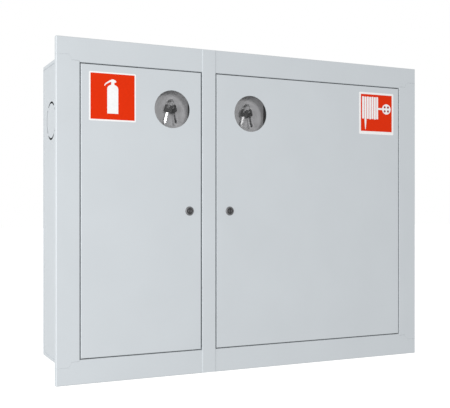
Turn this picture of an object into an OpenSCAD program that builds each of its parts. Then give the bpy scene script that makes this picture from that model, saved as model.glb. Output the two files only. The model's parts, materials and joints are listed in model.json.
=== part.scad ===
// Recessed fire cabinet with a narrow extinguisher door and a wide hose door.
// X runs to the right seen from the front, Y into the wall, Z up.
// The origin is the centre of the back panel's outer face.

/* [Body] */
// Width of the sheet-metal body
body_w = 840; // [800:5:900]
// Height of the body
body_h = 650; // [620:5:680]
// Depth from the frame's front face to the back of the body
body_d = 230; // [225:1:260]
// Sheet thickness of the body
body_t = 1; // [0.8:0.1:1.2]
// Width of the body's folded flanges
flange_w = 15; // [12:1:18]
// Height of the top and bottom panels' laps over the sides
lap_h = 7; // [5:1:10]
// Diameter of the pipe knock-outs
knockout_d = 84; // [60:1:90]
// Width of the slots round a knock-out
knockout_slot = 4.2; // [2:0.1:5]
// Depth of a knock-out's centre in front of the back face
knockout_y = 73; // [60:1:90]
// Height of a knock-out's centre
knockout_z = 197; // [150:1:220]
// Diameter of the wall fixing holes
fixing_d = 9; // [6:0.5:12]
// Distance between the fixing holes from side to side
fixing_x = 740; // [600:10:760]
// Distance between the fixing holes in height
fixing_z = 550; // [500:10:580]

/* [Frame] */
// Overall width of the front frame
frame_w = 890; // [885:1:920]
// Overall height of the front frame
frame_h = 700; // [695:1:730]
// Sheet thickness of the frame and doors
sheet_t = 1.2; // [1:0.1:1.5]
// Outside radius of the bends
bend_r = 2; // [1.8:0.1:2.5]
// Visible width of the side stiles
stile_w = 48.5; // [46:0.5:55]
// Visible height of the top and bottom rails
rail_h = 50; // [46:0.5:55]
// Depth of the frame's outer edge return
outer_lip = 12; // [8:1:15]
// Depth of the reveal around the doors
reveal_d = 20; // [18:1:22]
// Width of the post between the doors
post_w = 32; // [28:1:36]
// Sideways place of the post's middle
post_x = -112; // [-130:1:-100]

/* [Doors] */
// Gap round a door
door_gap = 1.8; // [1.6:0.1:2.4]
// Gap between a door and the post
post_gap = 2.3; // [2:0.1:3]
// Depth of the doors' folded edges
door_d = 18; // [16:0.5:18]
// Distance of a hinge axis from the door's edge
hinge_in = 10; // [9:0.5:12]
// Distance of a hinge axis behind the door's face
hinge_back = 6; // [5.5:0.5:7]
// Diameter of the hinge pins
pin_d = 6; // [5:0.5:6]
// Diameter of the key windows
window_d = 80; // [60:1:80]
// Height of the key windows' centre
window_z = 216; // [200:1:230]
// Sideways place of the left door's window
left_window_x = -197; // [-205:1:-195]
// Sideways place of the right door's window
right_window_x = -10.5; // [-12:0.5:0]
// Distance of the left lock from the post's middle
left_lock_in = 45.5; // [44:0.5:47]
// Distance of the right lock from the post's middle
right_lock_in = 50; // [48:0.5:51]
// Width and height of the signs
sign_w = 100; // [90:1:110]
// Sideways place of the left sign
left_sign_x = -328; // [-335:1:-320]
// Sideways place of the right sign
right_sign_x = 329; // [320:1:335]
// Height of the signs' centre
sign_z = 234; // [230:1:240]

/* [Key pockets] */
// Distance from the door's face to the pocket's back plate
pocket_d = 31; // [28:1:32]
// Width of the pocket
pocket_w = 96; // [90:1:100]
// Height of the pocket
pocket_h = 104; // [100:1:110]
// Thickness of the window pane
pane_t = 1.5; // [1:0.1:2]
// Outside diameter of the key ring
ring_d = 19; // [18:0.5:21]
// Wire diameter of the key ring
ring_wire = 1.3; // [1:0.1:1.6]

/* [Locks] */
// Diameter of the lock's head
lock_head_d = 19.5; // [18:0.5:22]
// Diameter of the lock's barrel
lock_barrel_d = 16; // [14:0.5:16]
// Diameter of the turning plug
lock_plug_d = 11; // [9:0.5:12]
// Reach of the cam from the lock's axis
cam_reach = 42; // [41:0.5:43]
// Width of the cam
cam_w = 14; // [10:1:16]

/* [Hose cassette] */
// Diameter of the cassette's pivot rod
rod_d = 12; // [8:1:14]
// Distance of the rod from the body's right side
rod_in = 45; // [42:1:50]
// Distance of the rod's axis behind the frame's front face
rod_back = 52; // [50:1:54]
// Width of the cassette's back plate
cassette_w = 400; // [320:10:410]
// Height of the cassette's back plate
cassette_h = 300; // [240:10:340]
// Height of the cassette's lower edge
cassette_z = -270; // [-275:5:-250]
// Inside depth of the hose cradle
cradle_d = 84; // [70:1:88]
// Sheet thickness of the cassette
cassette_t = 1.5; // [1.2:0.1:2]

/* [Hidden] */
$fn = 64;
// A hair of overlap or clearance
eps = 0.01;
// How far a cutting shape runs past what it cuts
past = 1;
// Clear line between two frame pieces
seam = 0.3;
// Radial clearance of a running fit
run_fit = 0.05;

// Outer half sizes and planes
body_x = body_w / 2;
body_z = body_h / 2;
frame_x = frame_w / 2;
frame_z = frame_h / 2;
front_y = -body_d;
sheet_back_y = front_y + sheet_t;
open_x = frame_x - stile_w;
open_z = frame_z - rail_h;
post_left = post_x - post_w / 2;
post_right = post_x + post_w / 2;
post_front_y = front_y - sheet_t;
// The post's face ends this far inside the frame's outer edges
post_short = 0.8;
reveal_back_y = front_y + reveal_d;
partition_gap = 1;
partition_front_y = reveal_back_y + partition_gap;

// Doors
door_z = open_z - door_gap;
left_door_l = -open_x + door_gap;
left_door_r = post_left - post_gap;
right_door_l = post_right + post_gap;
right_door_r = open_x - door_gap;
hinge_y = front_y + hinge_back;
left_hinge_x = left_door_l + hinge_in;
right_hinge_x = right_door_r - hinge_in;
pin_head_d = 10;
pin_past = 4;
collar_d = pin_d + 2;
collar_gap = 0.2;
pin_head_h = 3;
left_lock_x = post_x - left_lock_in;
right_lock_x = post_x + right_lock_in;

// Seam between a rail and a stile, from the outer edge to the opening's corner
seam_outer_drop = 35.5;
seam_inner_drop = 46.5;
seam_step_out = 26.5;
seam_step_in = 31.5;
relief = 3;

// Gap between the lid's flanges and the sides' flanges
flange_gap = 1;

// Locks
head_h = 2;
barrel_short = 1;
lock_barrel_len = reveal_d - barrel_short;
head_slope_w = 2.4;
head_slope_h = 1.5;
plug_proud = 0.4;
keyway_w = 2.4;
keyway_h = 8;
keyway_d = 10;
nut_flats = 22;
thread_fit = 0.1;
nut_h = 4;
cam_t = 2;
cam_corner = 4;
cam_hub = 18;
cam_gap = 1;
cam_y = partition_front_y + body_t + cam_gap;
cam_square = 7;
// The plug's square starts this far in front of the cam
square_step = 0.2;
cam_fit = 0.05;
cam_screw_d = 9;
cam_screw_h = 2.5;
screw_slot = 1.1;

// Key pockets
pocket_t = 1;
pocket_flange = 12;
pocket_back_y = front_y + pocket_d;
peg_d = 3;
peg_head_d = 6;
peg_head_h = 1;
peg_len = 19;
left_peg_shift = 3.5;
right_peg_shift = -1;
peg_rise = 20.3;
ring_out = 13;
left_peg_x = left_window_x + left_peg_shift;
right_peg_x = right_window_x + right_peg_shift;
peg_z = window_z + peg_rise;
ring_y = pocket_back_y - ring_out;
bow_w = 17;
bow_h = 16.5;
bow_t = 1.8;
bow_corner = 3;
bow_hole_d = 7;
bow_rim = 0.8;
bow_top = bow_hole_d / 2 + bow_rim;
blade_w = 5;
blade_len = 24.5;
blade_t = 1.6;
blade_root = 5;
tooth_d = 1.4;
tooth_pitch = 3.6;
tooth_count = 4;
// Turn of the ring, and each key's place round it from its lowest point, its tilt and its turn
ring_turn = 15;
key_place = 38;
key_tilt = 14.5;
front_key_turn = -30;
rear_key_turn = -60;

// Hose cassette
rod_x = body_x - rod_in;
rod_y = front_y + rod_back;
rod_end_gap = 0.4;
bracket_t = 3;
bracket_h = 40;
bracket_span = 24;
rod_above = 30;
rod_below = 20;
rod_past = 5;
rod_top_z = cassette_z + cassette_h + rod_above;
rod_bottom_z = cassette_z - rod_below;
// Height of each bracket's inner face, and the way its leg runs
bracket_ends = [[rod_bottom_z, 1], [rod_top_z, -1]];
arm_h = 30;
arm_t = 3;
collar_rim = 4;
collar_h = 8;
rod_clear = 18;
arm_lap = 30;
cassette_step = 4;
cassette_right = rod_x - rod_clear;
cassette_left = cassette_right - cassette_w;
cassette_front_y = rod_y + cassette_step;
cassette_back_y = cassette_front_y + cradle_d + cassette_t;
cradle_lip = 60;
rivet_head_d = 9;
rivet_head_h = 1.6;
arm_inset = 40;
arms_z = [cassette_z + arm_inset, cassette_z + cassette_h - arm_inset];
rivets_in = [10, 22];
bracket_rivets_at = [0.4, 0.8];

paint = [0.82, 0.84, 0.85];
zinc = [0.72, 0.74, 0.76];
dark_plastic = [0.16, 0.16, 0.17];

// ---- shared shapes ----

// Rectangle whose two corners on the low Y side are rounded
module front_rounded(x0, x1, y0, y1, r) {
  translate([x0 + r, y0]) square([x1 - x0 - 2 * r, y1 - y0]);
  translate([x0, y0 + r]) square([x1 - x0, y1 - y0 - r]);
  translate([x0 + r, y0 + r]) circle(r);
  translate([x1 - r, y0 + r]) circle(r);
}

// Channel outline: a web at the front and a return on each side
module channel_outline(x0, x1, y0, y1, t, r) {
  difference() {
    front_rounded(x0, x1, y0, y1, r);
    front_rounded(x0 + t, x1 - t, y0 + t, y1 + eps, r - t);
  }
}

// Block from a plan outline, standing on Z
module upright(z0, z1) {
  translate([0, 0, z0]) linear_extrude(z1 - z0) children();
}

// Block from an outline drawn in Z (as its X) and Y, lying along X
module lying(x0, x1) {
  translate([x0, 0, 0]) rotate([0, 90, 0]) linear_extrude(x1 - x0) mirror([1, 0]) children();
}

// Block whose four front edges are rounded
module soft_block(x0, x1, z0, z1, y0, y1, r) {
  intersection() {
    upright(z0, z1) front_rounded(x0, x1, y0, y1, r);
    lying(x0, x1) front_rounded(z0, z1, y0, y1, r);
  }
}

// Tray: a front face with four folded edges
module tray(x0, x1, z0, z1, y0, depth, t, r) {
  difference() {
    soft_block(x0, x1, z0, z1, y0, y0 + depth, r);
    soft_block(x0 + t, x1 - t, z0 + t, z1 - t, y0 + t, y0 + depth + past, r - t);
  }
}

// Box from its low corner to its high corner
module block(low, high) {
  translate(low) cube(high - low);
}

// Round bar along Y
module rod_y_dir(x, z, y0, y1, d) {
  translate([x, y0, z]) rotate([-90, 0, 0]) cylinder(d = d, h = y1 - y0);
}

// Round bar along Z
module rod_z_dir(x, y, z0, z1, d) {
  translate([x, y, z0]) cylinder(d = d, h = z1 - z0);
}

// Both ends of a pair, top and bottom
module top_and_bottom() {
  children();
  mirror([0, 0, 1]) children();
}

// ---- body ----

module back_panel() {
  color(paint) difference() {
    block([-body_x, -body_t, -body_z], [body_x, 0, body_z]);
    for (x = [-fixing_x / 2, fixing_x / 2], z = [-fixing_z / 2, fixing_z / 2])
      rod_y_dir(x, z, -body_t - past, past, fixing_d);
  }
}

// Side sheet with its front and rear flanges turned inwards, right-hand one
module side_sheet() {
  x1 = body_x - body_t;
  difference() {
    upright(-body_z + body_t, body_z - body_t) difference() {
      translate([x1 - flange_w, sheet_back_y]) square([flange_w, body_d - sheet_t - body_t]);
      translate([x1 - flange_w - past, sheet_back_y + body_t])
        square([flange_w + past - body_t, body_d - sheet_t - 3 * body_t]);
    }
    translate([x1 - 2 * body_t, -knockout_y, knockout_z]) rotate([0, 90, 0])
      cylinder(d = knockout_d, h = 4 * body_t);
  }
}

module right_side_panel() {
  color(paint) side_sheet();
}

module left_side_panel() {
  color(paint) mirror([1, 0, 0]) side_sheet();
}

// Knock-out disc held by four bridges, right-hand one
module knockout_disc() {
  bridge_w = 7;
  translate([body_x - 2 * body_t, -knockout_y, knockout_z]) rotate([0, 90, 0]) linear_extrude(body_t) {
    circle(d = knockout_d - 2 * knockout_slot);
    for (a = [45, -45]) rotate(a) intersection() {
      circle(d = knockout_d - 2 * eps);
      square([bridge_w, knockout_d + 2 * past], center = true);
    }
  }
}

module right_knockout() {
  color(paint) knockout_disc();
}

module left_knockout() {
  color(paint) mirror([1, 0, 0]) knockout_disc();
}

// Top sheet with laps outside the sides and a flange at its front and back
module lid_sheet() {
  z1 = body_z;
  in_x = body_x - body_t - flange_w - flange_gap;
  y0 = sheet_back_y;
  y1 = -body_t;
  block([-body_x, y0, z1 - body_t], [body_x, y1, z1]);
  for (side = [-1, 1])
    block([min(side * body_x, side * (body_x - body_t)), y0, z1 - lap_h],
          [max(side * body_x, side * (body_x - body_t)), y1, z1]);
  block([-in_x, y0, z1 - flange_w], [in_x, y0 + body_t, z1]);
  block([-in_x, y1 - body_t, z1 - flange_w], [in_x, y1, z1]);
}

module top_panel() {
  color(paint) lid_sheet();
}

module bottom_panel() {
  color(paint) mirror([0, 0, 1]) lid_sheet();
}

// Upright sheet between the two compartments, flanged at its front and back
module partition() {
  z1 = body_z - body_t - flange_w;
  y0 = partition_front_y;
  y1 = -body_t;
  color(paint) upright(-z1, z1) {
    translate([post_x - body_t / 2, y0]) square([body_t, y1 - y0]);
    translate([post_left, y0]) square([post_w, body_t]);
    translate([post_x, y1 - body_t]) square([flange_w, body_t]);
  }
}

// ---- front frame ----

// Outline with its mirror image below, from the upper half's points in order
module mirrored_down(upper) {
  n = len(upper);
  polygon(concat(upper, [for (i = [n - 1:-1:0]) [upper[i][0], -upper[i][1]]]));
}

// Outline with its mirror image on the left, from the right half's points in order
module mirrored_left(right) {
  n = len(right);
  polygon(concat(right, [for (i = [n - 1:-1:0]) [-right[i][0], right[i][1]]]));
}

// Part of the frame that the right-hand stile covers, below the stepped seam
module stile_region() {
  z_out = frame_z - seam_outer_drop - seam;
  z_in = frame_z - seam_inner_drop - seam;
  mirrored_down([[open_x - eps, open_z - seam], [open_x + relief / 2, z_in],
                 [frame_x - seam_step_in, z_in], [frame_x - seam_step_out, z_out],
                 [frame_x + past, z_out]]);
}

// Part of the frame that the top rail covers, above the stepped seam
module rail_region() {
  z_out = frame_z - seam_outer_drop;
  z_in = frame_z - seam_inner_drop;
  mirrored_left([[open_x, open_z - past], [open_x, open_z + eps], [open_x + relief / 2, z_in],
                 [frame_x - seam_step_in, z_in], [frame_x - seam_step_out, z_out],
                 [frame_x + past, z_out], [frame_x + past, frame_z + past]]);
}

// Prism through the frame from an outline drawn in X and Z
module through_frame() {
  translate([0, past, 0]) rotate([90, 0, 0]) linear_extrude(body_d + reveal_d) children();
}

// Right-hand stile: web, outer lip and inner reveal
module stile() {
  intersection() {
    upright(-frame_z, frame_z) difference() {
      channel_outline(open_x, frame_x, front_y, reveal_back_y, sheet_t, bend_r);
      translate([open_x + stile_w / 2, front_y + outer_lip]) square([stile_w, reveal_d]);
    }
    through_frame() stile_region();
  }
}

// Top rail: web, outer lip, end lips and inner reveal with its hinge holes
module rail() {
  above_reveal = open_z + bend_r;
  difference() {
    intersection() {
      difference() {
        soft_block(-frame_x, frame_x, open_z, frame_z, front_y, reveal_back_y, bend_r);
        soft_block(-frame_x + sheet_t, frame_x - sheet_t, open_z + sheet_t, frame_z - sheet_t,
                   sheet_back_y, reveal_back_y + past, bend_r - sheet_t);
        block([-frame_x - past, front_y + outer_lip, above_reveal], [frame_x + past, 0, frame_z + past]);
      }
      through_frame() rail_region();
    }
    for (x = [left_hinge_x, right_hinge_x])
      rod_z_dir(x, hinge_y, open_z - past, open_z + sheet_t + past, pin_d + 2 * run_fit);
  }
}

module frame_left_stile() {
  color(paint) mirror([1, 0, 0]) stile();
}

module frame_right_stile() {
  color(paint) stile();
}

module frame_top_rail() {
  color(paint) rail();
}

module frame_bottom_rail() {
  color(paint) mirror([0, 0, 1]) rail();
}

// Post: a channel between the rails whose face laps over them
module frame_post() {
  post_z = frame_z - post_short;
  color(paint) difference() {
    upright(-post_z, post_z)
      channel_outline(post_left, post_right, post_front_y, partition_front_y, sheet_t, bend_r);
    for (side = [-1, 1])
      block([post_left - past, front_y, side > 0 ? open_z - seam : -frame_z - past],
            [post_right + past, 0, side > 0 ? frame_z + past : -open_z + seam]);
  }
}

// ---- doors ----

// Door tray with its window, lock hole and hinge holes
module door_tray(x0, x1, window_x, lock_x, hinge_x) {
  color(paint) difference() {
    tray(x0, x1, -door_z, door_z, front_y, door_d, sheet_t, bend_r);
    rod_y_dir(window_x, window_z, front_y - past, sheet_back_y + past, window_d);
    rod_y_dir(lock_x, 0, front_y - past, sheet_back_y + past, lock_barrel_d + 2 * thread_fit);
    rod_z_dir(hinge_x, hinge_y, -door_z - past, door_z + past, pin_d);
  }
}

module left_door_panel() {
  door_tray(left_door_l, left_door_r, left_window_x, left_lock_x, left_hinge_x);
}

module right_door_panel() {
  door_tray(right_door_l, right_door_r, right_window_x, right_lock_x, right_hinge_x);
}

// Two pins riveted in the door's edges, each with a collar in the gap
module hinge_pin_pair(x) {
  z0 = door_z - sheet_t;
  color(zinc) top_and_bottom() {
    rod_z_dir(x, hinge_y, z0 - pin_head_h, z0, pin_head_d);
    rod_z_dir(x, hinge_y, z0, open_z + sheet_t + pin_past, pin_d);
    rod_z_dir(x, hinge_y, door_z, open_z - collar_gap, collar_d);
  }
}

module left_hinge_pins() {
  hinge_pin_pair(left_hinge_x);
}

module right_hinge_pins() {
  hinge_pin_pair(right_hinge_x);
}

// Square adhesive sign with rounded corners
module sign(x) {
  sign_t = 0.25;
  corner_r = 2.5;
  half = sign_w / 2 - corner_r;
  color("white") translate([x, front_y, sign_z]) rotate([90, 0, 0]) linear_extrude(sign_t) {
    square([sign_w, 2 * half], center = true);
    square([2 * half, sign_w], center = true);
    for (a = [-1, 1], b = [-1, 1]) translate([a * half, b * half]) circle(corner_r);
  }
}

module left_sign() {
  sign(left_sign_x);
}

module right_sign() {
  sign(right_sign_x);
}

// Clear pane behind the window
module pane(x) {
  color([0.8, 0.9, 0.95, 0.35])
    block([x - pocket_w / 2, sheet_back_y, window_z - pocket_h / 2 + pocket_t],
          [x + pocket_w / 2, sheet_back_y + pane_t, window_z + pocket_h / 2 - pocket_t]);
}

module left_window_pane() {
  pane(left_window_x);
}

module right_window_pane() {
  pane(right_window_x);
}

// Bracket behind the window, open at its left and right
module pocket(x) {
  z1 = pocket_h / 2;
  y1 = pocket_back_y + pocket_t;
  color(zinc) translate([x, 0, window_z]) difference() {
    union() {
      block([-pocket_w / 2, sheet_back_y, -z1], [pocket_w / 2, y1, z1]);
      for (side = [-1, 1])
        block([-pocket_w / 2, sheet_back_y, side > 0 ? z1 : -z1 - pocket_flange],
              [pocket_w / 2, sheet_back_y + pocket_t, side > 0 ? z1 + pocket_flange : -z1]);
    }
    block([-pocket_w, sheet_back_y - past, -z1 + pocket_t], [pocket_w, pocket_back_y, z1 - pocket_t]);
  }
}

module left_key_pocket() {
  pocket(left_window_x);
}

module right_key_pocket() {
  pocket(right_window_x);
}

// Headed peg that the key ring hangs on
module peg(x) {
  y0 = pocket_back_y - peg_len;
  color(zinc) {
    rod_y_dir(x, peg_z, y0, pocket_back_y, peg_d);
    rod_y_dir(x, peg_z, y0 - peg_head_h, y0, peg_head_d);
  }
}

module left_key_peg() {
  peg(left_peg_x);
}

module right_key_peg() {
  peg(right_peg_x);
}

// ---- locks ----

// Headed barrel with the bore that the plug turns in
module lock_barrel(x) {
  color("silver") translate([x, front_y, 0]) rotate([-90, 0, 0]) difference() {
    union() {
      translate([0, 0, -head_h])
        cylinder(d1 = lock_head_d - 2 * head_slope_w, d2 = lock_head_d, h = head_slope_h);
      translate([0, 0, head_slope_h - head_h])
        cylinder(d = lock_head_d, h = head_h - head_slope_h);
      cylinder(d = lock_barrel_d, h = lock_barrel_len);
    }
    translate([0, 0, -head_h - past])
      cylinder(d = lock_plug_d + 2 * run_fit, h = reveal_d + head_h + 2 * past);
  }
}

module left_lock_barrel() {
  lock_barrel(left_lock_x);
}

module right_lock_barrel() {
  lock_barrel(right_lock_x);
}

// Hexagonal nut clamping the barrel to the door
module lock_nut(x) {
  color(zinc) translate([x, sheet_back_y, 0]) rotate([-90, 0, 0]) difference() {
    cylinder(d = nut_flats / cos(30), h = nut_h, $fn = 6);
    translate([0, 0, -past]) cylinder(d = lock_barrel_d + 2 * thread_fit, h = nut_h + 2 * past);
  }
}

module left_lock_nut() {
  lock_nut(left_lock_x);
}

module right_lock_nut() {
  lock_nut(right_lock_x);
}

// Turning plug with its keyway in front and a square for the cam behind
module lock_plug(x) {
  plug_front = front_y - head_h - plug_proud;
  color("gray") translate([x, 0, 0]) {
    difference() {
      rod_y_dir(0, 0, plug_front, cam_y - square_step, lock_plug_d);
      block([-keyway_w / 2, plug_front - past, -keyway_h / 2],
            [keyway_w / 2, plug_front + keyway_d, keyway_h / 2]);
    }
    block([-cam_square / 2, cam_y - square_step, -cam_square / 2],
          [cam_square / 2, cam_y + cam_t, cam_square / 2]);
  }
}

module left_lock_plug() {
  lock_plug(left_lock_x);
}

module right_lock_plug() {
  lock_plug(right_lock_x);
}

// Flat cam hanging down when unlocked
module lock_cam(x) {
  hole = cam_square + 2 * cam_fit;
  color(zinc) translate([x, cam_y + cam_t, 0]) rotate([90, 0, 0]) linear_extrude(cam_t) difference() {
    union() {
      circle(d = cam_hub);
      translate([-cam_w / 2, cam_corner - cam_reach]) square([cam_w, cam_reach - cam_corner]);
      translate([cam_corner - cam_w / 2, -cam_reach]) square([cam_w - 2 * cam_corner, 2 * cam_corner]);
      for (side = [-1, 1])
        translate([side * (cam_w / 2 - cam_corner), cam_corner - cam_reach]) circle(cam_corner);
    }
    square(hole, center = true);
  }
}

module left_lock_cam() {
  lock_cam(left_lock_x);
}

module right_lock_cam() {
  lock_cam(right_lock_x);
}

// Slotted screw that keeps the cam on the plug
module cam_screw(x) {
  y0 = cam_y + cam_t;
  color(zinc) difference() {
    rod_y_dir(x, 0, y0, y0 + cam_screw_h, cam_screw_d);
    block([x - cam_screw_d, y0 + cam_screw_h - screw_slot, -screw_slot / 2],
          [x + cam_screw_d, y0 + cam_screw_h + past, screw_slot / 2]);
  }
}

module left_cam_screw() {
  cam_screw(left_lock_x);
}

module right_cam_screw() {
  cam_screw(right_lock_x);
}

// ---- keys ----

// The ring hangs on the peg by its inner edge
ring_rest = 0.1;
ring_r = (ring_d - ring_wire) / 2;
ring_z = peg_z + peg_d / 2 + ring_rest - (ring_d / 2 - ring_wire);

module key_ring(x) {
  color("silver") translate([x, ring_y, ring_z]) rotate([0, 0, ring_turn]) rotate([90, 0, 0])
    rotate_extrude() translate([ring_r, 0]) circle(d = ring_wire, $fn = 16);
}

module left_key_ring() {
  key_ring(left_peg_x);
}

module right_key_ring() {
  key_ring(right_peg_x);
}

// Places a key on the ring, drawn hanging down from its hole; side is -1 in front, 1 behind
module on_ring(x, side) {
  turn = side < 0 ? front_key_turn : rear_key_turn;
  translate([x, ring_y, ring_z]) rotate([0, 0, ring_turn])
    translate([side * ring_r * sin(key_place), 0, -ring_r * cos(key_place)])
      rotate([0, 0, turn - ring_turn]) rotate([0, -side * key_tilt, 0]) rotate([90, 0, 0]) children();
}

// Moulded bow with the ring's hole near its top
module key_bow() {
  x1 = bow_w / 2;
  z0 = bow_top - bow_h;
  translate([0, 0, -bow_t / 2]) linear_extrude(bow_t) difference() {
    union() {
      translate([-x1, z0 + bow_corner]) square([bow_w, bow_h - 2 * bow_corner]);
      translate([-x1 + bow_corner, z0]) square([bow_w - 2 * bow_corner, bow_h]);
      for (x = [-x1 + bow_corner, x1 - bow_corner], z = [z0 + bow_corner, bow_top - bow_corner])
        translate([x, z]) circle(bow_corner);
    }
    circle(d = bow_hole_d);
  }
}

// Flat blade with bites along one edge
module key_blade() {
  top = bow_top - bow_h;
  shoulder = top - blade_len + blade_w / 2;
  translate([0, 0, -blade_t / 2]) linear_extrude(blade_t) difference() {
    polygon([[-blade_w / 2, top], [-blade_w / 2, shoulder], [0, top - blade_len],
             [blade_w / 2, shoulder], [blade_w / 2, top]]);
    for (i = [0:tooth_count - 1]) translate([blade_w / 2, top - blade_root - i * tooth_pitch])
      polygon([[past, tooth_pitch / 2], [0, tooth_pitch / 2], [-tooth_d, 0], [0, -tooth_pitch / 2],
               [past, -tooth_pitch / 2]]);
  }
}

module left_front_key_bow() {
  color(dark_plastic) on_ring(left_peg_x, -1) key_bow();
}

module left_front_key_blade() {
  color("white") on_ring(left_peg_x, -1) key_blade();
}

module left_rear_key_bow() {
  color(dark_plastic) on_ring(left_peg_x, 1) key_bow();
}

module left_rear_key_blade() {
  color("white") on_ring(left_peg_x, 1) key_blade();
}

module right_front_key_bow() {
  color(dark_plastic) on_ring(right_peg_x, -1) key_bow();
}

module right_front_key_blade() {
  color("white") on_ring(right_peg_x, -1) key_blade();
}

module right_rear_key_bow() {
  color(dark_plastic) on_ring(right_peg_x, 1) key_bow();
}

module right_rear_key_blade() {
  color("white") on_ring(right_peg_x, 1) key_blade();
}

// ---- hose cassette ----

// Two angle brackets on the right side that carry the rod's ends
module cassette_brackets() {
  x1 = body_x - 2 * body_t;
  color(zinc) for (end = bracket_ends) {
    z0 = end[1] < 0 ? end[0] : end[0] - bracket_t;
    difference() {
      union() {
        block([rod_x - bracket_span / 2, rod_y - bracket_span / 2, z0],
              [x1, rod_y + bracket_span / 2, z0 + bracket_t]);
        block([x1 - bracket_t, rod_y - bracket_span / 2, min(end[0], end[0] + end[1] * bracket_h)],
              [x1, rod_y + bracket_span / 2, max(end[0], end[0] + end[1] * bracket_h)]);
      }
      rod_z_dir(rod_x, rod_y, z0 - past, z0 + bracket_t + past, rod_d + 2 * run_fit);
    }
  }
}

// Rivets through the brackets into the side panel
module cassette_bracket_rivets() {
  x1 = body_x - 2 * body_t - bracket_t;
  color(zinc) for (end = bracket_ends, k = bracket_rivets_at)
    translate([x1 - rivet_head_h, rod_y, end[0] + end[1] * k * bracket_h]) rotate([0, 90, 0])
      cylinder(d = rivet_head_d, h = rivet_head_h);
}

module cassette_rod() {
  reach = bracket_t + rod_past;
  color(zinc) rod_z_dir(rod_x, rod_y, rod_bottom_z - reach, rod_top_z + reach, rod_d);
}

// Collars that keep the rod between its brackets
module cassette_collars() {
  color(zinc) for (z0 = [rod_bottom_z + rod_end_gap, rod_top_z - rod_end_gap - collar_h])
    difference() {
      rod_z_dir(rod_x, rod_y, z0, z0 + collar_h, rod_d + 2 * collar_rim);
      rod_z_dir(rod_x, rod_y, z0 - past, z0 + collar_h + past, rod_d);
    }
}

// Two flat arms from the rod to the back plate
module cassette_arms() {
  color(zinc) for (z = arms_z) difference() {
    union() {
      rod_z_dir(rod_x, rod_y, z - arm_h / 2, z + arm_h / 2, rod_d + 2 * collar_rim);
      block([cassette_right - arm_lap, cassette_back_y, z - arm_h / 2],
            [rod_x, cassette_back_y + arm_t, z + arm_h / 2]);
      block([rod_x - arm_t, rod_y, z - arm_h / 2], [rod_x, cassette_back_y + arm_t, z + arm_h / 2]);
    }
    rod_z_dir(rod_x, rod_y, z - arm_h, z + arm_h, rod_d);
  }
}

// Upright plate behind the rolled hose
module cassette_back_plate() {
  color(paint)
    block([cassette_left, cassette_back_y - cassette_t, cassette_z + cassette_t],
          [cassette_right, cassette_back_y, cassette_z + cassette_h]);
}

// Trough under the hose with a front lip
module cassette_cradle() {
  y0 = cassette_front_y - cassette_t;
  color(paint) {
    block([cassette_left, y0, cassette_z], [cassette_right, cassette_back_y, cassette_z + cassette_t]);
    block([cassette_left, y0, cassette_z], [cassette_right, y0 + cassette_t, cassette_z + cradle_lip]);
  }
}

// Rivets between the arms and the back plate
module cassette_rivets() {
  color(zinc) for (z = arms_z, dx = rivets_in)
    rod_y_dir(cassette_right - dx, z, cassette_back_y + arm_t, cassette_back_y + arm_t + rivet_head_h,
              rivet_head_d);
}

back_panel();
left_side_panel();
right_side_panel();
top_panel();
bottom_panel();
partition();
left_knockout();
right_knockout();
frame_top_rail();
frame_bottom_rail();
frame_left_stile();
frame_right_stile();
frame_post();
cassette_brackets();
cassette_bracket_rivets();
left_door_panel();
left_hinge_pins();
left_sign();
left_window_pane();
left_key_pocket();
left_key_peg();
left_lock_barrel();
left_lock_nut();
left_lock_plug();
left_lock_cam();
left_cam_screw();
left_key_ring();
left_front_key_bow();
left_front_key_blade();
left_rear_key_bow();
left_rear_key_blade();
right_door_panel();
right_hinge_pins();
right_sign();
right_window_pane();
right_key_pocket();
right_key_peg();
right_lock_barrel();
right_lock_nut();
right_lock_plug();
right_lock_cam();
right_cam_screw();
right_key_ring();
right_front_key_bow();
right_front_key_blade();
right_rear_key_bow();
right_rear_key_blade();
cassette_rod();
cassette_arms();
cassette_back_plate();
cassette_cradle();
cassette_rivets();
cassette_collars();
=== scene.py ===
import json
import math

import bpy
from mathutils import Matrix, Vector


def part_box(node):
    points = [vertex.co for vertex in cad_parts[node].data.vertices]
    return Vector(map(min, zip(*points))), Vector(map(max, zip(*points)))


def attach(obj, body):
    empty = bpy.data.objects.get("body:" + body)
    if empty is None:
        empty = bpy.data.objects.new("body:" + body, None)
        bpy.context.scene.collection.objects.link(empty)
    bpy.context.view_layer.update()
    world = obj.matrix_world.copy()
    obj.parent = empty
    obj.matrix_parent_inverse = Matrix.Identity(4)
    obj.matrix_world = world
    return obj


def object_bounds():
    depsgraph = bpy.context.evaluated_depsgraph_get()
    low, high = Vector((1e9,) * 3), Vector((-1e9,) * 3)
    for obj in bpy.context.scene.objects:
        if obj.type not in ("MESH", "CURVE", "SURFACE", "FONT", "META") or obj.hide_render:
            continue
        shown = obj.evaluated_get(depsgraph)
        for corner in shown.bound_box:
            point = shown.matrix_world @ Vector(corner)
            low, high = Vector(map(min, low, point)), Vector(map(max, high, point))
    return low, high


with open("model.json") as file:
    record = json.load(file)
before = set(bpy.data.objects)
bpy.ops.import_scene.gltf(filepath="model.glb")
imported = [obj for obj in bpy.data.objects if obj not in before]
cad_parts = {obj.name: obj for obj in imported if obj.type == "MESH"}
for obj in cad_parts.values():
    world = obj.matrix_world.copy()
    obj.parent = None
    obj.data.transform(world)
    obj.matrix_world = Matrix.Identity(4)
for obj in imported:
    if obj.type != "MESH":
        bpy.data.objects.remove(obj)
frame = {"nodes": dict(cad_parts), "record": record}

CAD_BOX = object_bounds()
NODES = frame["nodes"]
MM = 0.001
WHITE = (1.0, 1.0, 1.0)


def put_in_scene(name, data):
    """A new object made of data, linked to the scene."""
    made = bpy.data.objects.new(name, data)
    bpy.context.scene.collection.objects.link(made)
    return made


# ---------------------------------------------------------------- camera

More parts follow.
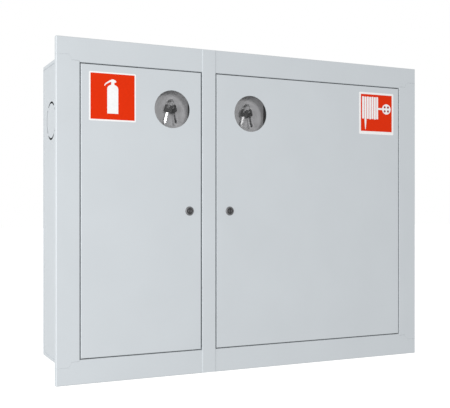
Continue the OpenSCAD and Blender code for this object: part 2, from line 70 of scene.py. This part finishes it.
# The camera stands left of the object, at the height of its middle, and looks level
CAMERA_PLACE = Vector((-0.8112, -1.7970, 0.0))
CAMERA_YAW = math.radians(25.21)
# Turned this far about X, a camera or lamp that pointed straight down points level
LEVEL = math.radians(90)
SENSOR_MM = 36.0
LENS_MM = 63.3
# The photograph's horizon lies a little under its middle
SHIFT_UP = 0.0156


def make_camera():
    data = bpy.data.cameras.new("camera")
    data.sensor_width = SENSOR_MM
    data.lens = LENS_MM
    data.shift_y = SHIFT_UP
    camera = put_in_scene("camera", data)
    camera.location = CAMERA_PLACE
    camera.rotation_euler = (LEVEL, 0.0, -CAMERA_YAW)
    bpy.context.scene.camera = camera


make_camera()


# ---------------------------------------------------------------- light

OBJECT_FRONT = Vector((0.0, CAD_BOX[0].y, 0.0))
# Brightness of the white surroundings: as the camera sees them, and as light on the object
SKY_SEEN = 1.0
SKY_SHED = 0.52
# Square lamps aimed at the object's front: place and side in metres, then watts
SQUARE_LAMPS = {
    "key": ((-1.5, -1.5, 0.1), 0.6, 12.0),
    "side": ((-3.2, -0.4, 0.1), 1.5, 41.0),
}
# Distant lamps: strength, then spread, leftward and upward angles in degrees
FAR_LAMPS = {
    "front": (1.12, 12.0, 5.0, 9.0),
    "back": (1.0, 40.0, 160.0, 35.0),
}


def make_sky(seen, shed):
    """White surroundings: seen is their brightness to the camera, shed is the light they give."""
    world = bpy.data.worlds.new("studio")
    world.use_nodes = True
    tree = world.node_tree
    background = tree.nodes["Background"]
    background.inputs["Color"].default_value = (*WHITE, 1.0)
    path = tree.nodes.new("ShaderNodeLightPath")
    level = tree.nodes.new("ShaderNodeMapRange")
    level.inputs["To Min"].default_value = shed
    level.inputs["To Max"].default_value = seen
    tree.links.new(path.outputs["Is Camera Ray"], level.inputs["Value"])
    tree.links.new(level.outputs["Result"], background.inputs["Strength"])
    bpy.context.scene.world = world


def make_square_lamp(name, place, side, watts):
    data = bpy.data.lights.new(name, "AREA")
    data.shape = "SQUARE"
    data.size = side
    data.energy = watts
    lamp = put_in_scene(name, data)
    lamp.location = place
    lamp.rotation_euler = (OBJECT_FRONT - Vector(place)).to_track_quat("-Z", "Y").to_euler()
    lamp.visible_camera = False


def make_far_lamp(name, strength, spread, leftward, upward):
    """A distant soft lamp, round to the left of the front and above it, not seen in gloss."""
    data = bpy.data.lights.new(name, "SUN")
    data.energy = strength
    data.angle = math.radians(spread)
    lamp = put_in_scene(name, data)
    lamp.rotation_euler = (LEVEL - math.radians(upward), 0.0, -math.radians(leftward))
    lamp.visible_glossy = False


make_sky(SKY_SEEN, SKY_SHED)
for name, settings in SQUARE_LAMPS.items():
    make_square_lamp(name, *settings)
for name, settings in FAR_LAMPS.items():
    make_far_lamp(name, *settings)
bpy.context.scene.view_settings.view_transform = "Standard"


# ---------------------------------------------------------------- materials

# Nearly all of a noise's values lie between these
NOISE_LOW = 0.3
NOISE_HIGH = 0.7


def tinted(colour, factors):
    return tuple(c * factor for c, factor in zip(colour, factors))


def scaled(colour, factor):
    return tuple(c * factor for c in colour)


def colour_socket(sockets, name):
    """A mix node has sockets of several kinds under each name: this is the one for colour."""
    return next(s for s in sockets if s.name == name and s.type == "RGBA")


class Shader:
    """A principled material, with short calls for the nodes that feed it."""

    def __init__(self, name, metallic=0.0, **constants):
        self.material = bpy.data.materials.new(name)
        self.material.use_nodes = True
        self.tree = self.material.node_tree
        self.bsdf = self.tree.nodes["Principled BSDF"]
        self.bsdf.inputs["Metallic"].default_value = metallic
        for socket, value in constants.items():
            self.bsdf.inputs[socket.replace("_", " ")].default_value = value
        self.place = self.node("ShaderNodeTexCoord").outputs["Object"]

    def node(self, kind, **settings):
        made = self.tree.nodes.new(kind)
        for key, value in settings.items():
            setattr(made, key, value)
        return made

    def link(self, source, target):
        self.tree.links.new(source, target)

    def moved(self, centre=(0.0, 0.0, 0.0), scale=(1.0, 1.0, 1.0)):
        """Object coordinates measured from centre, then scaled along each axis."""
        minus = self.node("ShaderNodeVectorMath", operation="SUBTRACT")
        minus.inputs[1].default_value = centre
        self.link(self.place, minus.inputs[0])
        times = self.node("ShaderNodeVectorMath", operation="MULTIPLY")
        times.inputs[1].default_value = scale
        self.link(minus.outputs["Vector"], times.inputs[0])
        return times.outputs["Vector"]

    def noise(self, size, detail=2.0, where=None, distortion=0.0):
        """Noise with features about size metres across."""
        made = self.node("ShaderNodeTexNoise")
        made.inputs["Scale"].default_value = 1.0 / size
        made.inputs["Detail"].default_value = detail
        made.inputs["Distortion"].default_value = distortion
        self.link(where or self.place, made.inputs["Vector"])
        return made.outputs["Fac"]

    def spread(self, value, low=0.0, high=1.0, start=NOISE_LOW, end=NOISE_HIGH):
        """The value with its range from start to end taken to the range from low to high."""
        made = self.node("ShaderNodeMapRange")
        limits = {"From Min": start, "From Max": end, "To Min": low, "To Max": high}
        for socket, number in limits.items():
            made.inputs[socket].default_value = number
        self.link(value, made.inputs["Value"])
        return made.outputs["Result"]

    def mixed(self, value, colour_a, colour_b):
        """From colour_a to colour_b as value goes from 0 to 1; colour_a may come from a node."""
        made = self.node("ShaderNodeMix", data_type="RGBA")
        for name, colour in (("A", colour_a), ("B", colour_b)):
            target = colour_socket(made.inputs, name)
            if isinstance(colour, tuple):
                target.default_value = (*colour, 1.0)
            else:
                self.link(colour, target)
        self.link(value, made.inputs["Factor"])
        return colour_socket(made.outputs, "Result")

    def bump(self, height, depth, over=None):
        """Surface relief depth metres deep, on top of another relief if one is given."""
        made = self.node("ShaderNodeBump")
        made.inputs["Strength"].default_value = 1.0
        made.inputs["Distance"].default_value = depth
        self.link(height, made.inputs["Height"])
        if over:
            self.link(over, made.inputs["Normal"])
        return made.outputs["Normal"]

    def finish(self, colour, roughness, normal=None):
        self.link(colour, self.bsdf.inputs["Base Color"])
        self.link(roughness, self.bsdf.inputs["Roughness"])
        if normal:
            self.link(normal, self.bsdf.inputs["Normal"])
        return self.material


def powder_coat(name, colour, roughness=0.45):
    """Light textured powder coat: fine orange peel, faint clouding and dust specks."""
    s = Shader(name)
    cloud = s.spread(s.noise(size=110 * MM, detail=3.0))
    speck = s.spread(s.noise(size=1.1 * MM, detail=1.0), start=0.45, end=0.78)
    base = s.mixed(cloud, scaled(colour, 0.985), scaled(colour, 1.012))
    base = s.mixed(s.spread(speck, high=0.10, start=0.6, end=1.0), base, scaled(colour, 0.80))
    rough = s.spread(s.noise(size=20 * MM), low=roughness - 0.04, high=roughness + 0.05)
    peel = s.bump(s.noise(size=2.4 * MM), depth=0.06 * MM)
    wave = s.bump(s.noise(size=14 * MM, detail=1.0), depth=0.10 * MM, over=peel)
    return s.finish(base, rough, wave)


def zinc(name, colour):
    """Zinc plate: cloudy passivation, a little warmer where it is light, and rolling marks."""
    s = Shader(name, metallic=1.0)
    cloud = s.spread(s.noise(size=12 * MM, detail=4.0, distortion=0.6))
    base = s.mixed(cloud, scaled(colour, 0.86), tinted(colour, (1.06, 1.06, 1.02)))
    marks = s.noise(size=0.8 * MM, detail=3.0, where=s.moved(scale=(1.0, 1.0, 0.08)))
    rough = s.spread(marks, low=0.28, high=0.46)
    return s.finish(base, rough, s.bump(marks, depth=0.03 * MM))


def turned_metal(name, colour, centre, unmarked, shaded, roughness=0.66):
    """Plated die casting, turned about an axis along Y: painted shade darkens it from one radius to
    another, towards the recess where the lock's head meets its plug.
    """
    ring_pitch = 0.4 * MM
    s = Shader(name, metallic=1.0)
    length = s.node("ShaderNodeVectorMath", operation="LENGTH")
    s.link(s.moved(centre, scale=(1.0, 0.0, 1.0)), length.inputs[0])
    radius = length.outputs["Value"]
    ring_noise = s.node("ShaderNodeTexNoise", noise_dimensions="1D")
    ring_noise.inputs["Scale"].default_value = 1.0 / ring_pitch
    ring_noise.inputs["Detail"].default_value = 2.0
    s.link(radius, ring_noise.inputs["W"])
    rings = ring_noise.outputs["Fac"]
    cloud = s.spread(s.noise(size=6 * MM, detail=3.0))
    base = s.mixed(cloud, scaled(colour, 0.82), scaled(colour, 1.08))
    # Painted shade: the tone falls to a quarter towards the recess between the lock's head and its
    # plug
    base = s.mixed(s.spread(radius, start=unmarked, end=shaded), base, scaled(colour, 0.25))
    rough = s.spread(rings, low=roughness - 0.06, high=roughness + 0.08)
    return s.finish(base, rough, s.bump(rings, depth=0.03 * MM))


def key_steel(name, worn, bright):
    """Nickel plate with hairline scratches along the blade and dull handling marks."""
    s = Shader(name, metallic=1.0)
    scratch = s.noise(size=0.5 * MM, detail=4.0, where=s.moved(scale=(1.0, 1.0, 0.12)))
    smear = s.noise(size=5 * MM, detail=3.0)
    base = s.mixed(s.spread(smear), worn, bright)
    rough = s.spread(smear, low=0.16, high=0.34)
    return s.finish(base, rough, s.bump(scratch, depth=0.02 * MM))


def moulded_plastic(name, colour):
    """Fine-grained moulded plastic, unevenly polished where it is held."""
    s = Shader(name, Specular_IOR_Level=0.2)
    worn = s.spread(s.noise(size=6 * MM))
    base = s.mixed(worn, scaled(colour, 0.8), scaled(colour, 1.35))
    rough = s.spread(worn, low=0.36, high=0.55)
    return s.finish(base, rough, s.bump(s.noise(size=0.6 * MM), depth=0.08 * MM))


def vinyl(name, colour, roughness=0.38):
    """Self-adhesive film: smooth, with faint print mottling and the paint's texture under it."""
    s = Shader(name, Specular_IOR_Level=0.12)
    mottle = s.spread(s.noise(size=4 * MM, detail=3.0))
    base = s.mixed(mottle, scaled(colour, 0.965), scaled(colour, 1.03))
    rough = s.spread(s.noise(size=12 * MM), low=roughness - 0.05, high=roughness + 0.06)
    return s.finish(base, rough, s.bump(s.noise(size=3 * MM, detail=1.0), depth=0.04 * MM))


def clear_acrylic(name, dusty, unmarked):
    """Clear sheet with faint haze, dust and wipe marks."""
    s = Shader(name)
    dust = s.noise(size=0.9 * MM)
    wipe = s.noise(size=8 * MM, detail=3.0, where=s.moved(scale=(0.25, 1.0, 1.0)))
    s.link(s.spread(dust, low=0.012, high=0.03, start=0.4, end=0.75), s.bsdf.inputs["Alpha"])
    rough = s.spread(wipe, low=0.02, high=0.09)
    return s.finish(s.mixed(s.spread(dust), dusty, unmarked), rough, s.bump(wipe, depth=0.01 * MM))


PAINT = (0.540, 0.574, 0.600)
# Each look: what makes it, then its colours, and its roughness where it isn't the usual one
RECIPES = {
    "body_paint": (powder_coat, PAINT),
    "frame_paint": (powder_coat, PAINT),
    "door_paint": (powder_coat, PAINT),
    "pocket_paint": (powder_coat, (0.42, 0.42, 0.43), 0.5),
    "peg_paint": (powder_coat, (0.13, 0.13, 0.135), 0.5),
    "cassette_paint": (powder_coat, PAINT),
    "zinc_steel": (zinc, (0.56, 0.57, 0.585)),
    # Hinge steel's near-black tone is painted shade: it keeps the hinge pins dark where they show in
    # the door gaps
    "hinge_steel": (zinc, (0.05, 0.05, 0.053)),
    # Ring wire's dark grey is a painted reflection: it stands in for darker surroundings mirrored by
    # the steel wire
    "ring_wire": (zinc, (0.16, 0.16, 0.165)),
    "key_steel": (key_steel, (0.50, 0.50, 0.51), (0.66, 0.66, 0.67)),
    "key_plastic": (moulded_plastic, (0.016, 0.016, 0.017)),
    "white_vinyl": (vinyl, (0.80, 0.80, 0.80)),
    "red_vinyl": (vinyl, (0.66, 0.026, 0.001)),
    "hole_vinyl": (vinyl, (0.30, 0.045, 0.045)),
    "clear_pane": (clear_acrylic, (0.86, 0.88, 0.89), (0.93, 0.94, 0.95)),
}
looks = {name: make(name, *settings) for name, (make, *settings) in RECIPES.items()}
record_slots = {part["node"]: part["material_slot"] for part in frame["record"]["subparts"]}
# Tone of each lock piece, the radius where it is unmarked and the one where the painted shade of the
# head-plug recess is darkest
LOCK_LOOKS = {
    "barrel": ((0.33, 0.33, 0.34), 7.2 * MM, 5.6 * MM),
    "plug": ((0.30, 0.30, 0.31), 3.0 * MM, 5.2 * MM),
}


def look_of(name):
    """A CAD node's material: the one its slot names, except on locks, signs and key pegs."""
    slot = record_slots[name]
    if slot == "lock_chrome":
        low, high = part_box(name)
        tone, unmarked, shaded = LOCK_LOOKS[name.split("_")[-1]]
        return turned_metal(name + "_metal", tone, (low + high) / 2, unmarked, shaded)
    if slot == "sign_vinyl":
        return looks["white_vinyl"]
    if name.endswith("key_peg"):
        return looks["peg_paint"]
    return looks[slot]


for name, node in NODES.items():
    node.data.materials.clear()
    node.data.materials.append(look_of(name))


# ---------------------------------------------------------------- signs

# Thickness of each printed layer
LAYER = 0.06 * MM
# White border of each sign: at its sides, its top and its bottom
BORDERS = {
    "left": (3.1 * MM, 2.8 * MM, 3.3 * MM),
    "right": (5.0 * MM, 4.6 * MM, 7.2 * MM),
}
# Radius of a red field's corners, in units of the field
FIELD_CORNER = 0.006


def plate(name, outlines, surface_y):
    """Printed layer on a surface: a thin slab for each closed outline of (x, z) points.

    An outline runs anticlockwise as seen from the front, so that the slab's faces look outwards.
    """
    points, faces = [], []
    for outline in outlines:
        count = len(outline)
        back = [len(points) + i for i in range(count)]
        front = [i + count for i in back]
        for y in (surface_y, surface_y - LAYER):
            points += [(x, y, z) for x, z in outline]
        faces += [back[::-1], front]
        faces += [(back[i - 1], back[i], front[i], front[i - 1]) for i in range(count)]
    mesh = bpy.data.meshes.new(name)
    mesh.from_pydata(points, [], faces)
    return put_in_scene(name, mesh)


def rounded(x0, x1, z0, z1, r, steps=6):
    """Outline of a rectangle with rounded corners."""
    centres = [(x1 - r, z1 - r), (x0 + r, z1 - r), (x0 + r, z0 + r), (x1 - r, z0 + r)]
    points = []
    for quarter, (cx, cz) in enumerate(centres):
        for i in range(steps + 1):
            a = math.radians(90 * quarter + 90.0 * i / steps)
            points.append((cx + r * math.cos(a), cz + r * math.sin(a)))
    return points


def disc(cx, cz, r, steps=32):
    """Outline of a circle."""
    turns = [math.tau * i / steps for i in range(steps)]
    return [(cx + r * math.cos(a), cz + r * math.sin(a)) for a in turns]


def extinguisher_outline():
    """Upright cylinder with neck, head and lever, as one outline in units of the red field."""
    right, left, base, shoulder, rise = 0.624, 0.374, 0.132, 0.668, 0.098
    middle, half = (left + right) / 2, (right - left) / 2
    # The shoulder's arcs stop this far, in degrees, from straight up, where the neck is
    neck, step = 18, 9

    def arc(start, end):
        turns = [math.radians(a) for a in range(start, end + 1, step)]
        return [(middle + half * math.cos(a), shoulder + rise * math.sin(a)) for a in turns]

    # Up the right of the neck, over the lever to its tip at the left, and back under it
    head = [(0.530, 0.786), (0.540, 0.808), (0.572, 0.818), (0.580, 0.836), (0.558, 0.862),
            (0.510, 0.882), (0.470, 0.876), (0.430, 0.855), (0.375, 0.819), (0.334, 0.788),
            (0.314, 0.760), (0.309, 0.733), (0.322, 0.727), (0.337, 0.757), (0.374, 0.784),
            (0.447, 0.823), (0.468, 0.814), (0.464, 0.788)]
    return [(left, base), (right, base)] + arc(0, 90 - neck) + head + arc(90 + neck, 180)


# Right edge of the rolled hose, where the valve's stem starts, in units of the red field
ROLL_RIGHT = 0.552


def rolled_hose():
    """Turns of a flat hose seen edge on, with its nozzle hanging from the second turn."""
    turns, left, gap, corner = 7, 0.040, 0.015, 0.012
    # Every second turn is longer by ragged at its foot, and shorter by half of that at its top
    top, bottom, ragged = 0.936, 0.335, 0.010
    pitch = (ROLL_RIGHT - left + gap) / turns
    shapes = []
    for i in range(turns):
        x0 = left + i * pitch
        out = ragged * (i % 2)
        shapes.append(rounded(x0, x0 + pitch - gap, bottom - out, top - out / 2, corner, steps=3))
    x0 = left + pitch
    x1 = x0 + pitch - gap
    middle, tip, waist, taper, lowest, clear = (x0 + x1) / 2, 0.008, 0.24, 0.003, 0.045, 0.002
    nozzle_top = bottom - ragged - clear
    shapes.append([(x0, nozzle_top), (x0 + taper, waist), (middle - tip, lowest),
                   (middle + tip, lowest), (x1 - taper, waist), (x1, nozzle_top)])
    return shapes


def valve_wheel():
    """A hand wheel seen face on, with a stem from the rolled hose; then the wheel's four holes."""
    x, z, r, half_stem, clear = 0.822, 0.620, 0.140, 0.024, 0.001
    x0 = ROLL_RIGHT + clear
    # The stem ends just inside the wheel's rim
    x1 = x - r * 0.98
    stem = [(x0, z - half_stem), (x1, z - half_stem), (x1, z + half_stem), (x0, z + half_stem)]
    spread, hole_r = 0.054, 0.032
    corners = [(a, b) for a in (-1, 1) for b in (-1, 1)]
    holes = [disc(x + a * spread, z + b * spread, hole_r, steps=16) for a, b in corners]
    return [stem, disc(x, z, r)], holes


def make_sign(side, layers):
    """Thin printed layers over a sign, each (name, look, outlines) in units of the red field."""
    low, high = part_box(side + "_sign")
    at_sides, at_top, at_bottom = BORDERS[side]
    x0, x1 = low.x + at_sides, high.x - at_sides
    z0, z1 = low.z + at_bottom, high.z - at_top
    y = low.y
    for name, look, outlines in layers:
        fitted = [[(x0 + (x1 - x0) * u, z0 + (z1 - z0) * v) for u, v in outline]
                  for outline in outlines]
        piece = plate(side + "_sign_" + name, fitted, y)
        piece.data.materials.append(looks[look])
        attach(piece, side + "_door")
        y -= LAYER


FIELD = rounded(0.0, 1.0, 0.0, 1.0, FIELD_CORNER)
wheel, wheel_holes = valve_wheel()
make_sign("left", [
    ("field", "red_vinyl", [FIELD]),
    ("symbol", "white_vinyl", [extinguisher_outline()]),
])
make_sign("right", [
    ("field", "red_vinyl", [FIELD]),
    ("symbol", "white_vinyl", rolled_hose() + wheel),
    ("holes", "hole_vinyl", wheel_holes),
])


# ---------------------------------------------------------------- floor

# How far the floor lies below the object, its side, and the glow that makes it as white as the sky
FLOOR_DROP = 0.55
FLOOR_SIZE = 80.0
FLOOR_GLOW = 0.46
FLOOR_TONES = ((0.93, 0.93, 0.93), (0.95, 0.95, 0.95))


def make_floor():
    """A pale floor that is only seen: it throws no light back up at the object."""
    z = CAD_BOX[0].z - FLOOR_DROP
    half = FLOOR_SIZE / 2
    mesh = bpy.data.meshes.new("floor")
    corners = [(-half, -half, z), (half, -half, z), (half, half, z), (-half, half, z)]
    mesh.from_pydata(corners, [], [(0, 1, 2, 3)])
    floor = put_in_scene("floor", mesh)
    floor.visible_diffuse = False
    floor.visible_glossy = False
    s = Shader("floor_white", Emission_Color=(*WHITE, 1.0), Emission_Strength=FLOOR_GLOW)
    tone = s.mixed(s.spread(s.noise(size=0.3, detail=3.0)), *FLOOR_TONES)
    rough = s.spread(s.noise(size=0.05), low=0.8, high=0.95)
    mesh.materials.append(s.finish(tone, rough))


make_floor()
